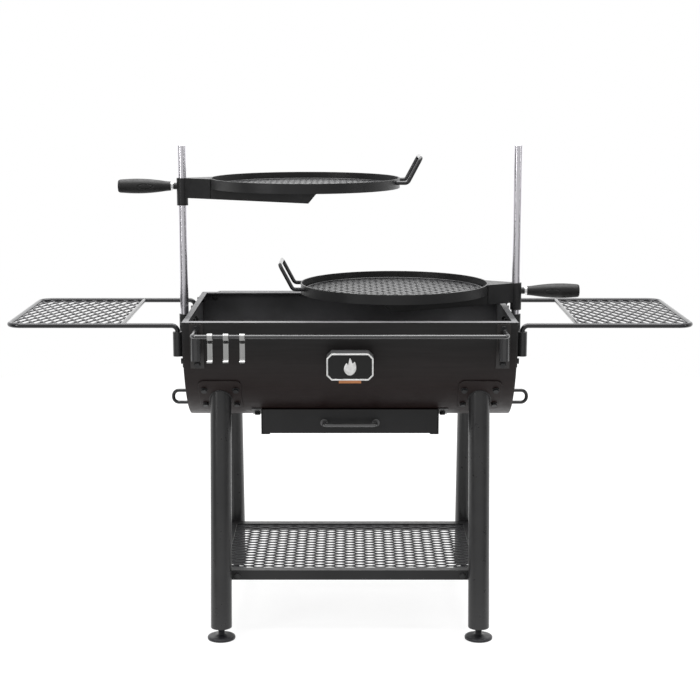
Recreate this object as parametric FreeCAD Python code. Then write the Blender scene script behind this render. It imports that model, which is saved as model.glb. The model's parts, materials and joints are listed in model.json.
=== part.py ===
"""Open-top charcoal barrel grill with two swing-away round grates.

Millimetres, +Z up.  The origin is on the floor under the middle of the grill.
+X runs along the barrel, -Y faces the cook.  One STEP file per node.
"""

import FreeCAD, Part  # noqa: E401  (FreeCAD has to be imported first)
import math
import os

V = FreeCAD.Vector
UP = V(0, 0, 1)
ALONG_X = V(1, 0, 0)
ALONG_Y = V(0, 1, 0)

# ---------------------------------------------------------------- driving dimensions
RIM = 810.0  # height of the barrel's rim
SHEET = 3.0  # barrel sheet
GAP = 0.3  # air left between two pieces that move on each other

BARREL_R = 279.4
BARREL_HALF = 408.0  # half the length of the barrel's shell
RIM_FOLD_LONG = 25.0  # inward fold along the front and the rear
RIM_FOLD_END = 14.0  # inward fold on the end plates

ASH_SLOT = (34.0, 9.0)  # length and width of a slot in the barrel's floor
ASH_SLOT_PITCH = (46.0, 24.0)
ASH_SLOT_GRID = (8, 5)

LEG_R = 26.5
LEG_WALL = 2.0
LEG_X = 325.0
LEG_TOP = V(0, 188.0, 632.0)  # a point on the leg's axis, at the barrel
LEG_FOOT = V(0, 272.0, 31.0)  # the axis at the leg's lower end
LEG_PLATE_WIDTH = 106.0
LEG_PLATE_ANGLES = (33.0, 60.0)  # degrees below the rim
LEG_BOLT_X = 39.5
LEG_BOLT_ANGLES = (39.5, 52.6)
LEG_PLATE_CORNER = 14.0

FOOT_R = 35.0
FOOT_DISC = 9.0
FOOT_STEM_R = 8.5
LEG_PLUG = 12.0

SHELF_HALF = (342.0, 225.0)
SHELF_TOP = 164.0
SHELF_BOLT_X = 286.0
ANGLE_IRON = (25.0, 3.0)  # leg and thickness

SHELF_DIAMOND = (52.2, 23.2)  # pitch of the expanded metal along X and Y
TABLE_DIAMOND = (28.1, 67.0)
MESH_THICK = 2.5
MESH_STRAND = 4.7

POST_X = 432.6
POST_R = 11.0
POST_TOP = 418.0  # above the rim
POST_BOTTOM = -128.0
POST_SOCKET_R = 13.5
POST_SOCKET = (-132.0, -20.0)  # lower and upper end, from the rim
POST_PLATE = (36.0, -128.0, -24.0)  # half width, lower and upper edge of its back plate
POST_BOLT_Y = 24.0
POST_BOLT_Z = (-36.0, -116.0)

TABLE_ROD_R = 6.0
TABLE_SOCKET_X = 426.8
TABLE_Y = 225.0
TABLE_Z = -16.0  # the rod's axis, from the rim
TABLE_END_X = 855.0
TABLE_CROSSBAR_X = 566.0
TABLE_CROSSBAR_R = 5.5
TABLE_ELBOW = 15.0  # bend above a socket
TABLE_CORNER = 34.0  # bend at the outer corners

RAIL_ROD_R = 5.0
RAIL_SOCKET_X = 376.0
RAIL_SOCKET_Y = 295.0
RAIL_Y = 390.0
RAIL_Z = -17.0
RAIL_BEND = 14.0

SOCKET_R = 12.0
SOCKET_SPAN = (-92.0, -31.0)  # lower and upper end of a rod socket, from the rim
SOCKET_FLOOR = 4.0
SLIP = 0.6  # radial play of a rod in its socket
SOCKET_PLATE = (17.0, -118.0, -4.0)  # half width, lower and upper edge of its back plate
SOCKET_WEB = (5.0, -88.0, -32.0)  # half thickness, lower and upper edge
SOCKET_BOLT_Z = (-14.0, -106.0)

HOOK_X = (-333.0, -295.0, -256.0)
HOOK_WIDTH = 12.5
HOOK_THICK = 2.5
HOOK_DROP = 62.0  # from the rail's axis to the lowest point
HOOK_PLAY = 0.5
HOOK_TAB = 7.0  # how far the front tab reaches below the rail's axis
HOOK_JOG = (-11.0, -18.0)  # heights where the strip starts and ends its jog forward
HOOK_BODY_Y = 1.0  # the hanging part's middle line, from the rail's axis
HOOK_CURL = 9.25
HOOK_TIP = (-12.7, 4.6)

RING_R = 244.0
RING_WALL = 3.5
RING_HIGH = 25.0
RING_LEDGE = 14.5
RING_REACH = 317.0  # from the post to the ring's centre
UPPER_RING_TOP = 335.0  # from the rim
LOWER_RING_TOP = 63.0

GRATE_R = 236.0
GRATE_THICK = 6.0
GRATE_RIM = 9.0
GRATE_PITCH = 30.6  # across the corners of the lattice's squares
GRATE_BAR = 8.0

SLEEVE_R = 14.5
SLEEVE_LONG = 68.0
BUSH_R = (POST_R + GAP, 12.2)
BUSH_FLANGE = 2.0
ARM_HIGH = 51.0
ARM_PLATE = 4.0
ARM_ANGLE = 29.5
ARM_START = (10.0, 12.0)
ARM_SEAM = (75.8, 2.2, 2.2)  # groove where the plate meets the ring: place along it, width, depth
ARM_TIP = (365.5, 390.8)  # the plate's lower and upper corner, along the plate

HANDLE_ROD_R = 5.0
HANDLE_HALF = 69.0
HANDLE_BELOW = 9.5
HANDLE_ELBOW = 262.0
HANDLE_TIP = 295.0
HANDLE_RISE = 62.0
HANDLE_BEND = 11.0

GRIP_Z = -22.0  # the grip's axis, from the ring's top
GRIP_BOSS = (8.5, 22.0)  # radius, and how far it reaches from the post's axis
FERRULE = (12.0, 6.0)
GRIP_LONG = 137.0
GRIP_PROFILE = ((0.0, 11.5), (0.16, 14.6), (0.5, 18.6), (0.72, 19.0), (0.94, 17.0), (1.0, 15.0))
SCREW_R = 5.0

DRAWER_HALF = (224.0, 140.0)
DRAWER_Z = (502.0, 564.0)
DRAWER_SHEET = 1.5
DRAWER_CLEAR = 3.0  # air between the drawer's walls and the barrel
RUNNER_LIP = 20.0
RUNNER_SHEET = 2.0
RUNNER_BOLT = (238.0, 68.0)  # place along X, and degrees below the rim
DRAWER_HANDLE = (66.0, 30.0, 530.0)  # half length, reach, height
DRAWER_HANDLE_R = 5.0

COAL_GRATE_HALF = (388.0, 222.0)
COAL_GRATE_TOP = -150.0
COAL_GRATE_THICK = 6.0
COAL_SLOT = (98.0, 14.0)
COAL_SLOT_PITCH = (22.0, 108.0)

CARRY_ROD_R = 4.5
CARRY_Z = 570.0
CARRY_HALF = 16.0
CARRY_REACH = 470.0

BADGE = (114.0, 66.0, 12.0)  # width, height, corner chamfer
BADGE_Z = -102.0
BADGE_FACE_Y = -326.0
FLAME = ((0, 24), (7, 10), (12, 14), (16, -4), (10, -20), (-10, -20), (-16, -4), (-9, 6), (-5, 2))
BADGE_BOLT_X = 30.0
OPENER = (54.0, 30.0, 3.0)  # width, depth, thickness
OPENER_SCREW_X = 24.0

BOLT_R = 4.0
BOLT_HEX = 13.0  # across the flats
BOLT_HEAD = 5.0
BOLT_WASHER = (8.5, 1.2)


# ---------------------------------------------------------------- shape helpers
def box(low, high):
    size = V(*high) - V(*low)
    return Part.makeBox(size.x, size.y, size.z, V(*low))


def cylinder(base, radius, length, axis=UP):
    return Part.makeCylinder(radius, length, V(*base), axis)


def tube(base, outer, inner, length, axis=UP):
    return cylinder(base, outer, length, axis).cut(cylinder(base, inner, length, axis))


def fuse(pieces):
    whole = pieces[0]
    for piece in pieces[1:]:
        whole = whole.fuse(piece)
    return whole.removeSplitter()


def moved(shape, *offset):
    copy = shape.copy()
    copy.translate(V(*offset))
    return copy


def mirrored(shape, axis):
    return shape.mirror(V(0, 0, 0), axis)


def polygon(points):
    return Part.makePolygon([V(*p) for p in [*points, points[0]]])


def rectangle(low, high, z):
    return polygon([(low[0], low[1], z), (high[0], low[1], z), (high[0], high[1], z), (low[0], high[1], z)])


def prism(points, extrusion):
    return Part.Face(polygon(points)).extrude(V(*extrusion))


def rounded_path(points, bends):
    """Straight runs through the points, joined by an arc of its own radius at each corner."""
    points = [V(*p) for p in points]
    edges = []
    start = points[0]
    for before, corner, after, bend in zip(points, points[1:], points[2:], bends):
        back = (before - corner).normalize()
        on = (after - corner).normalize()
        half = back.getAngle(on) / 2
        inset = bend / math.tan(half)
        first = corner + back * inset
        last = corner + on * inset
        centre = corner + (back + on).normalize() * (bend / math.sin(half))
        middle = centre + (corner - centre).normalize() * bend
        edges.append(Part.makeLine(start, first))
        edges.append(Part.Arc(first, middle, last).toShape())
        start = last
    edges.append(Part.makeLine(start, points[-1]))
    return Part.Wire(edges)


def bent_rod(points, radius, bends):
    path = rounded_path(points, bends)
    first = V(*points[0])
    heading = V(*points[1]) - first
    section = Part.Wire(Part.makeCircle(radius, first, heading))
    return path.makePipeShell([section], True, False)


def hexagon(base, axis, across, height):
    """A hexagonal prism standing on base, along axis."""
    corner = across / math.sqrt(3)
    side = axis.cross(UP if abs(axis.z) < 0.9 else ALONG_X).normalize()
    turn = [FreeCAD.Rotation(axis, 60 * i) for i in range(6)]
    points = [base + t.multVec(side * corner) for t in turn]
    return prism([tuple(p) for p in points], tuple(axis * height))


def bolt(surface, outward, grip):
    """Hex head with a washer outside, shank through the grip, nut and washer inside."""
    washer_r, washer = BOLT_WASHER
    inside = surface - outward * grip
    tail = inside - outward * (washer + BOLT_HEAD + 3)
    length = (surface - tail).Length + washer
    pieces = [
        cylinder(tuple(surface), washer_r, washer, outward),
        hexagon(surface + outward * washer, outward, BOLT_HEX, BOLT_HEAD),
        cylinder(tuple(inside - outward * washer), washer_r, washer, outward),
        hexagon(inside - outward * (washer + BOLT_HEAD), outward, BOLT_HEX, BOLT_HEAD),
        cylinder(tuple(tail), BOLT_R, length, outward),
    ]
    return fuse(pieces)


def bolt_hole(surface, outward, depth):
    return cylinder(tuple(surface + outward * 20), BOLT_R + GAP, depth + 20, outward * -1)


def barrel_solid(radius, half):
    return cylinder((-half, 0, RIM), radius, 2 * half, ALONG_X)


def below_rim(angle, side):
    """Outward normal of the barrel at an angle below the rim, front (-1) or rear (+1)."""
    a = math.radians(angle)
    return V(0, side * math.cos(a), -math.sin(a))


def on_barrel(x, angle, side, radius):
    return V(x, 0, RIM) + below_rim(angle, side) * radius


def diamond_sheet(low, high, z, pitch, strand):
    """A flat sheet with staggered diamond holes, each kept whole inside its edge."""
    outline = rectangle(low, high, z)
    middle = ((low[0] + high[0]) / 2, (low[1] + high[1]) / 2)
    half = (pitch[0] / 2 - strand * 0.9, pitch[1] / 2 - strand * 0.9)
    count = [math.ceil((high[i] - low[i]) / pitch[i]) + 1 for i in (0, 1)]
    holes = []
    for i in range(-count[0], count[0] + 1):
        for j in range(-count[1], count[1] + 1):
            x = middle[0] + i * pitch[0] / 2
            y = middle[1] + j * pitch[1] / 2
            in_x = low[0] + strand < x - half[0] and x + half[0] < high[0] - strand
            in_y = low[1] + strand < y - half[1] and y + half[1] < high[1] - strand
            if (i + j) % 2 == 0 and in_x and in_y:
                holes.append(diamond(x, y, z, half))
    return Part.Face([outline, *holes]).extrude(V(0, 0, MESH_THICK))


def diamond(x, y, z, half):
    return polygon([(x - half[0], y, z), (x, y + half[1], z), (x + half[0], y, z), (x, y - half[1], z)])


# ---------------------------------------------------------------- barrel
def socket_bolt_places():
    """(surface point, outward normal, grip) of every bolt that holds a rod or post socket."""
    places = []
    for side in (-1, 1):
        out = V(side, 0, 0)
        face = side * (BARREL_HALF + 2 * SHEET)
        for y in (-TABLE_Y, TABLE_Y):
            for z in SOCKET_BOLT_Z:
                places.append((V(face, y * table_bolt_inset(z), RIM + z), out, 2 * SHEET))
        for y in (-POST_BOLT_Y, POST_BOLT_Y):
            for z in POST_BOLT_Z:
                places.append((V(face, y, RIM + z), out, 2 * SHEET))
    for side in (-1, 1):
        for x in (-RAIL_SOCKET_X, RAIL_SOCKET_X):
            for z in SOCKET_BOLT_Z:
                angle = math.degrees(math.asin(-z / BARREL_R))
                surface = on_barrel(x, angle, side, BARREL_R + SHEET)
                places.append((surface, below_rim(angle, side), 2 * SHEET + GAP))
    return places


def table_bolt_inset(z):
    """The lower bolts of a table socket lean in, so that they stay on the round end plate."""
    return 1.0 if z > -50 else 0.97


def leg_bolt_places():
    places = []
    for side in (-1, 1):
        for x in (-LEG_X, LEG_X):
            for dx in (-LEG_BOLT_X, LEG_BOLT_X):
                for angle in LEG_BOLT_ANGLES:
                    surface = on_barrel(x + dx, angle, side, BARREL_R + SHEET)
                    places.append((surface, below_rim(angle, side), 2 * SHEET + GAP))
    return places


def runner_bolt_places():
    bolt_x, angle = RUNNER_BOLT
    places = []
    for x in (-bolt_x, bolt_x):
        for side in (-1, 1):
            surface = on_barrel(x, angle, side, BARREL_R + RUNNER_SHEET)
            places.append((surface, below_rim(angle, side), RUNNER_SHEET + SHEET + GAP))
    return places


def badge_bolt_places():
    return [(V(x, -BARREL_R, RIM + BADGE_Z), V(0, -1, 0), SHEET) for x in (-BADGE_BOLT_X, BADGE_BOLT_X)]


def drill(shape, places, depth=24.0):
    holes = [bolt_hole(surface, outward, depth) for surface, outward, _ in places]
    return shape.cut(Part.makeCompound(holes))


def ash_slots():
    slots = []
    for i in range(ASH_SLOT_GRID[0]):
        for j in range(ASH_SLOT_GRID[1]):
            x = (i - (ASH_SLOT_GRID[0] - 1) / 2) * ASH_SLOT_PITCH[0]
            y = (j - (ASH_SLOT_GRID[1] - 1) / 2) * ASH_SLOT_PITCH[1]
            half = (ASH_SLOT[0] / 2, ASH_SLOT[1] / 2)
            slots.append(box((x - half[0], y - half[1], RIM - 300), (x + half[0], y + half[1], RIM - 240)))
    return Part.makeCompound(slots)


def barrel_shell():
    shell = barrel_solid(BARREL_R, BARREL_HALF).cut(barrel_solid(BARREL_R - SHEET, BARREL_HALF + 1))
    above = box((-BARREL_HALF - 1, -BARREL_R - 1, RIM), (BARREL_HALF + 1, BARREL_R + 1, RIM + 300))
    shell = shell.cut(above)
    folds = []
    for side in (-1, 1):
        edges = sorted((side * (BARREL_R - 1), side * (BARREL_R - RIM_FOLD_LONG)))
        folds.append(box((-BARREL_HALF, edges[0], RIM - SHEET), (BARREL_HALF, edges[1], RIM)))
    shell = fuse([shell, *folds]).cut(ash_slots())
    return drill(shell, leg_bolt_places() + socket_bolt_places() + runner_bolt_places() + badge_bolt_places())


def end_plate(side):
    disc = cylinder((BARREL_HALF, 0, RIM), BARREL_R, SHEET, ALONG_X)
    disc = disc.cut(box((BARREL_HALF - 1, -300, RIM), (BARREL_HALF + 9, 300, RIM + 300)))
    reach = BARREL_R - RIM_FOLD_LONG
    fold = box((BARREL_HALF + SHEET - RIM_FOLD_END, -reach, RIM - SHEET), (BARREL_HALF + SHEET, reach, RIM))
    plate = fuse([disc, fold])
    if side < 0:
        plate = mirrored(plate, ALONG_X)
    return drill(plate, socket_bolt_places())


def bolts(places):
    return Part.makeCompound([bolt(surface, outward, grip) for surface, outward, grip in places])


def carry_handle():
    inner = BARREL_HALF + SHEET
    points = [
        (inner, 0, CARRY_Z + CARRY_HALF),
        (CARRY_REACH - CARRY_ROD_R, 0, CARRY_Z + CARRY_HALF),
        (CARRY_REACH - CARRY_ROD_R, 0, CARRY_Z - CARRY_HALF),
        (inner, 0, CARRY_Z - CARRY_HALF),
    ]
    return bent_rod(points, CARRY_ROD_R, [CARRY_HALF * 0.9] * 2)


def charcoal_ledges():
    top = RIM + COAL_GRATE_TOP - COAL_GRATE_THICK - GAP
    ledge = box((-380, 204, top - SHEET), (380, 240, top))
    ledge = ledge.common(barrel_solid(BARREL_R - SHEET - GAP, BARREL_HALF))
    return Part.makeCompound([ledge, mirrored(ledge, ALONG_Y)])


def charcoal_grate():
    low = RIM + COAL_GRATE_TOP - COAL_GRATE_THICK
    half_x, half_y = COAL_GRATE_HALF
    outline = rectangle((-half_x, -half_y), (half_x, half_y), low)
    across = math.floor((half_x - 12) / COAL_SLOT_PITCH[0])
    slots = []
    for i in range(-across, across + 1):
        for j in (-1.5, -0.5, 0.5, 1.5):
            x, y = i * COAL_SLOT_PITCH[0], j * COAL_SLOT_PITCH[1]
            dx, dy = COAL_SLOT[1] / 2, COAL_SLOT[0] / 2
            # a hole is wound the other way round from the outline
            slots.append(rectangle((x + dx, y - dy), (x - dx, y + dy), low))
    return Part.Face([outline, *slots]).extrude(V(0, 0, COAL_GRATE_THICK))


# ---------------------------------------------------------------- stand
def leg_axis():
    return (LEG_TOP - LEG_FOOT).normalize()


def leg(side_x, side_y):
    axis = leg_axis()
    base = LEG_FOOT - axis * 20
    length = (LEG_TOP - LEG_FOOT).Length + 60
    base.x = LEG_X
    shape = tube(tuple(base), LEG_R, LEG_R - LEG_WALL, length, axis)
    shape = shape.cut(barrel_solid(BARREL_R + SHEET + 0.1, BARREL_HALF))
    shape = shape.cut(box((0, 0, -100), (500, 500, LEG_FOOT.z)))
    return placed_corner(shape, side_x, side_y)


def placed_corner(shape, side_x, side_y):
    """A piece modelled at the rear right, carried to the given corner."""
    if side_x < 0:
        shape = mirrored(shape, ALONG_X)
    if side_y < 0:
        shape = mirrored(shape, ALONG_Y)
    return shape


def corners():
    return [(x, y) for y in (-1, 1) for x in (-1, 1)]


def leg_plate():
    middle = sum(LEG_PLATE_ANGLES) / 2
    chord = 2 * BARREL_R * math.sin(math.radians(LEG_PLATE_ANGLES[1] - LEG_PLATE_ANGLES[0]) / 2)
    sheet = barrel_solid(BARREL_R + SHEET, BARREL_HALF).cut(barrel_solid(BARREL_R, BARREL_HALF))
    blank = box((-LEG_PLATE_WIDTH / 2, -chord / 2, 0), (LEG_PLATE_WIDTH / 2, chord / 2, 120))
    upright = [edge for edge in blank.Edges if abs(edge.tangentAt(0).z) > 0.9]
    blank = blank.makeFillet(LEG_PLATE_CORNER, upright)
    blank.translate(V(LEG_X, 0, 220))
    blank.rotate(V(0, 0, 0), ALONG_X, -(90 + middle))
    blank.translate(V(0, 0, RIM))
    return sheet.common(blank)


def leg_plates():
    plate = leg_plate()
    plates = [drill(placed_corner(plate, x, y), leg_bolt_places()) for x, y in corners()]
    return Part.makeCompound(plates)


def leg_plug():
    """Steel disc welded inside the leg's lower end; the foot's stem turns in it."""
    axis = leg_axis()
    base = LEG_FOOT - axis * 20
    base.x = LEG_X
    inside = cylinder(tuple(base), LEG_R - LEG_WALL - 0.1, 80, axis)
    slab = box((0, 0, LEG_FOOT.z), (500, 500, LEG_FOOT.z + LEG_PLUG))
    bore = cylinder((LEG_X, LEG_FOOT.y, 0), FOOT_STEM_R + GAP, 100)
    return inside.common(slab).cut(bore)


def foot(side_x, side_y):
    """Turned disc with a domed top and a threaded stem, screwed up into the leg's plug."""
    top = LEG_FOOT.z + LEG_PLUG - 1
    profile = [
        (0, 0),
        (FOOT_R - 1.5, 0),
        (FOOT_R, 1.5),
        (FOOT_R, FOOT_DISC - 3),
        (FOOT_R - 3, FOOT_DISC),
        (FOOT_STEM_R + 4, FOOT_DISC + 2),
        (FOOT_STEM_R, FOOT_DISC + 4),
        (FOOT_STEM_R, top),
        (0, top),
    ]
    face = Part.Face(polygon([(r, 0, z) for r, z in profile]))
    shape = face.revolve(V(0, 0, 0), UP, 360)
    return placed_corner(moved(shape, LEG_X, LEG_FOOT.y, 0), side_x, side_y)


def shelf_bolt_places():
    """Bolts through the shelf's skirt, just inside each leg."""
    y = SHELF_HALF[1]
    z = SHELF_TOP - 14
    pairs = [(x, side) for side in (-1, 1) for x in (-SHELF_BOLT_X, SHELF_BOLT_X)]
    return [(V(x, side * y, z), V(0, side, 0), ANGLE_IRON[1]) for x, side in pairs]


def shelf_frame():
    leg_size, thick = ANGLE_IRON
    x, y = SHELF_HALF
    outer = box((-x, -y, SHELF_TOP - leg_size), (x, y, SHELF_TOP))
    under = box((-x + thick, -y + thick, SHELF_TOP - leg_size - 1), (x - thick, y - thick, SHELF_TOP - thick))
    inner = (x - leg_size, y - leg_size)
    window = box((-inner[0], -inner[1], SHELF_TOP - leg_size), (inner[0], inner[1], SHELF_TOP + 1))
    return drill(outer.cut(under).cut(window), shelf_bolt_places(), 12.0)


def shelf_mesh():
    x = SHELF_HALF[0] - ANGLE_IRON[1] - 1
    y = SHELF_HALF[1] - ANGLE_IRON[1] - 1
    z = SHELF_TOP - ANGLE_IRON[1] - MESH_THICK
    return diamond_sheet((-x, -y), (x, y), z, SHELF_DIAMOND, MESH_STRAND)


# ---------------------------------------------------------------- sockets and posts
def rod_socket(rod_r):
    """An upright blind tube at the origin, its height measured from the rim."""
    low, high = SOCKET_SPAN
    shape = cylinder((0, 0, RIM + low), SOCKET_R, high - low)
    return shape, cylinder((0, 0, RIM + low + SOCKET_FLOOR), rod_r + SLIP, high - low)


def table_socket():
    solid, bore = rod_socket(TABLE_ROD_R)
    face = BARREL_HALF + SHEET
    half, low, high = SOCKET_PLATE
    plate = box((face, TABLE_Y - half, RIM + low), (face + SHEET, TABLE_Y + half, RIM + high))
    half, low, high = SOCKET_WEB
    web = box((face, TABLE_Y - half, RIM + low), (TABLE_SOCKET_X, TABLE_Y + half, RIM + high))
    body = fuse([moved(solid, TABLE_SOCKET_X, TABLE_Y, 0), plate, web])
    return body.cut(moved(bore, TABLE_SOCKET_X, TABLE_Y, 0))


def table_sockets():
    sockets = [drill(placed_corner(table_socket(), x, y), socket_bolt_places()) for x, y in corners()]
    return Part.makeCompound(sockets)


def rail_socket():
    """A rolled pad on the barrel, a web and the upright tube."""
    solid, bore = rod_socket(RAIL_ROD_R)
    x = RAIL_SOCKET_X
    pad = barrel_solid(BARREL_R + SHEET, BARREL_HALF).cut(barrel_solid(BARREL_R, BARREL_HALF))
    half, low, high = SOCKET_PLATE
    pad = pad.common(box((x - half, 200, RIM + low), (x + half, 290, RIM + high)))
    half, low, high = SOCKET_WEB
    web = box((x - half, 240, RIM + low), (x + half, RAIL_SOCKET_Y, RIM + high))
    web = web.cut(barrel_solid(BARREL_R + 1, BARREL_HALF))
    body = fuse([moved(solid, x, RAIL_SOCKET_Y, 0), pad, web])
    return body.cut(moved(bore, x, RAIL_SOCKET_Y, 0)).cut(barrel_solid(BARREL_R, BARREL_HALF))


def rail_sockets():
    sockets = [drill(placed_corner(rail_socket(), x, y), socket_bolt_places()) for x, y in corners()]
    return Part.makeCompound(sockets)


def post_socket():
    low, high = POST_SOCKET
    face = BARREL_HALF + SHEET
    holder = cylinder((POST_X, 0, RIM + low), POST_SOCKET_R, high - low)
    half, plate_low, plate_high = POST_PLATE
    plate = box((face, -half, RIM + plate_low), (face + SHEET, half, RIM + plate_high))
    web = box((face, -6, RIM + plate_low + 2), (POST_X, 6, RIM + plate_high - 2))
    body = fuse([holder, plate, web])
    return body.cut(cylinder((POST_X, 0, RIM + POST_BOTTOM), POST_R + 0.1, 300))


def post_sockets():
    right = drill(post_socket(), socket_bolt_places())
    left = drill(mirrored(post_socket(), ALONG_X), socket_bolt_places())
    return Part.makeCompound([left, right])


def post(side):
    shape = cylinder((side * POST_X, 0, RIM + POST_BOTTOM), POST_R, POST_TOP - POST_BOTTOM)
    rim_edge = [edge for edge in shape.Edges if edge.BoundBox.ZMin > RIM + POST_TOP - 1]
    return shape.makeChamfer(1.0, rim_edge)


# ---------------------------------------------------------------- rails, hooks and tables
def rail(side_y):
    foot_z = RIM + SOCKET_SPAN[0] + SOCKET_FLOOR + GAP
    x, y, z = RAIL_SOCKET_X, RAIL_SOCKET_Y, RIM + RAIL_Z
    half = [(x, y, foot_z), (x, y, z), (x, RAIL_Y, z)]
    other = [(-px, py, pz) for px, py, pz in reversed(half)]
    shape = bent_rod(half + other, RAIL_ROD_R, [RAIL_BEND] * 4)
    return mirrored(shape, ALONG_Y) if side_y < 0 else shape


def hook(x):
    """A flat strip that saddles the rail, jogs forward under it and turns up at the foot."""
    z = RIM + RAIL_Z
    saddle = RAIL_ROD_R + HOOK_PLAY + HOOK_THICK / 2  # the strip's middle line, from the rail's axis
    foot = -HOOK_DROP + HOOK_THICK / 2
    tip_y, tip_z = HOOK_TIP
    profile = [
        (-saddle, -HOOK_TAB),
        (-saddle, saddle),
        (saddle, saddle),
        (saddle, HOOK_JOG[0]),
        (HOOK_BODY_Y, HOOK_JOG[1]),
        (HOOK_BODY_Y, foot),
        (tip_y, foot),
        (tip_y - tip_z * 0.8, foot + tip_z),
    ]
    over = saddle - 0.05
    bends = [over, over, 5.0, 5.0, HOOK_CURL, HOOK_CURL]
    path = rounded_path([(x, py - RAIL_Y, pz + z) for py, pz in profile], bends)
    half, thick = HOOK_WIDTH / 2, HOOK_THICK / 2
    y = -saddle - RAIL_Y
    section = rectangle((x - half, y - thick), (x + half, y + thick), z - HOOK_TAB)
    return path.makePipeShell([section], True, False)


def table_frame(side):
    foot_z = RIM + SOCKET_SPAN[0] + SOCKET_FLOOR + GAP
    z = RIM + TABLE_Z
    inner = TABLE_SOCKET_X
    outer = TABLE_END_X - TABLE_ROD_R
    half = [(inner, TABLE_Y, foot_z), (inner, TABLE_Y, z), (outer, TABLE_Y, z)]
    other = [(px, -py, pz) for px, py, pz in reversed(half)]
    loop = bent_rod(half + other, TABLE_ROD_R, [TABLE_ELBOW, TABLE_CORNER, TABLE_CORNER, TABLE_ELBOW])
    crossbar = cylinder((TABLE_CROSSBAR_X, -TABLE_Y, z), TABLE_CROSSBAR_R, 2 * TABLE_Y, ALONG_Y)
    frame = fuse([loop, crossbar])
    return mirrored(frame, ALONG_X) if side < 0 else frame


def table_mesh(side):
    inset = TABLE_ROD_R + 0.2
    low = (TABLE_CROSSBAR_X + inset, -TABLE_Y + inset)
    high = (TABLE_END_X - 2 * TABLE_ROD_R - 0.2, TABLE_Y - inset)
    z = RIM + TABLE_Z - MESH_THICK / 2
    sheet = diamond_sheet(low, high, z, TABLE_DIAMOND, MESH_STRAND)
    corner = TABLE_CORNER - inset
    upright = [
        edge
        for edge in sheet.Edges
        if abs(edge.tangentAt(edge.FirstParameter).z) > 0.9 and edge.BoundBox.XMin > high[0] - 0.1
    ]
    sheet = sheet.makeFillet(corner, upright)
    return mirrored(sheet, ALONG_X) if side < 0 else sheet


# ---------------------------------------------------------------- grate carriages
# A carriage is modelled with the post on the Z axis, its arm along +X and the top of its ring at z = 0.
def post_bush():
    inner, outer = BUSH_R
    low = -1 - SLEEVE_LONG
    liner = cylinder((0, 0, low - GAP), outer, SLEEVE_LONG + GAP)
    flange = cylinder((0, 0, low - GAP - BUSH_FLANGE), SLEEVE_R, BUSH_FLANGE)
    return fuse([liner, flange]).cut(cylinder((0, 0, low - 10), inner, SLEEVE_LONG + 20))


def arm_plate():
    """The side plate, full height up to the ring and low under it, with a slanted tip."""
    low = -1 - ARM_HIGH
    points = [
        (-6, 0, -1),
        (130, 0, -1),
        (130, 0, -RING_HIGH),
        (ARM_TIP[1], 0, -RING_HIGH),
        (ARM_TIP[0], 0, low),
        (-6, 0, low),
    ]
    start, width, depth = ARM_SEAM
    seam = box((start, -depth, low - 1), (start + width, 1, 0))
    plate = prism(points, (0, -ARM_PLATE, 0)).cut(seam)
    plate.rotate(V(0, 0, 0), UP, ARM_ANGLE)
    return moved(plate, *ARM_START, 0)


def arm_cover():
    """The top of the arm, between its two side plates, from the sleeve to the ring."""
    spread = math.tan(math.radians(ARM_ANGLE))
    far = 130.0
    near_y = ARM_START[1] - 1
    far_y = near_y + (far - ARM_START[0]) * spread
    points = [(ARM_START[0], -near_y, -4), (far, -far_y, -4), (far, far_y, -4), (ARM_START[0], near_y, -4)]
    return prism(points, (0, 0, 3))


def arm():
    low = -1 - SLEEVE_LONG
    sleeve = cylinder((0, 0, low), SLEEVE_R, SLEEVE_LONG)
    boss = cylinder((0, 0, GRIP_Z), GRIP_BOSS[0], GRIP_BOSS[1], ALONG_X * -1)
    plate = arm_plate()
    body = fuse([sleeve, boss, plate, mirrored(plate, ALONG_Y), arm_cover()])
    ring_room = cylinder((RING_REACH, 0, -RING_HIGH), RING_R + 0.1, RING_HIGH + 5)
    bore = cylinder((0, 0, low - 5), BUSH_R[1] + GAP, SLEEVE_LONG + 20)
    screw_hole = cylinder((0, 0, GRIP_Z), SCREW_R + GAP, 40, ALONG_X * -1)
    return body.cut(ring_room).cut(bore).cut(screw_hole)


def ring():
    base = (RING_REACH, 0, -RING_HIGH)
    wall = tube(base, RING_R, RING_R - RING_WALL, RING_HIGH)
    ledge = tube(base, RING_R - 1, RING_R - RING_WALL - RING_LEDGE, 3.0)
    return fuse([wall, ledge])


def ring_handle():
    z = -HANDLE_BELOW
    x = RING_REACH
    half = [
        (x + 220, HANDLE_HALF, z),
        (x + HANDLE_ELBOW, HANDLE_HALF, z),
        (x + HANDLE_TIP, HANDLE_HALF, z + HANDLE_RISE),
    ]
    other = [(px, -py, pz) for px, py, pz in reversed(half)]
    shape = bent_rod(half + other, HANDLE_ROD_R, [HANDLE_BEND] * 4)
    return shape.cut(cylinder((x, 0, -40), RING_R + 0.05, 80))


def grate():
    z = -RING_HIGH + 3 + GAP
    reach = GRATE_R - GRATE_RIM
    half = GRATE_PITCH / 2 - GRATE_BAR / math.sqrt(2)
    count = math.ceil(2 * reach / GRATE_PITCH)
    rim = Part.Wire(Part.makeCircle(GRATE_R, V(RING_REACH, 0, z)))
    holes = []
    for i in range(-count, count + 1):
        for j in range(-count, count + 1):
            x, y = i * GRATE_PITCH / 2, j * GRATE_PITCH / 2
            if (i + j) % 2 == 0 and math.hypot(x, y) + half < reach:
                holes.append(diamond(RING_REACH + x, y, z, (half, half)))
    return Part.Face([rim, *holes]).extrude(V(0, 0, GRATE_THICK))


def ferrule():
    start = -GRIP_BOSS[1] - GAP
    return tube((start, 0, GRIP_Z), FERRULE[0], SCREW_R + 0.1, FERRULE[1], ALONG_X * -1)


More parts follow.
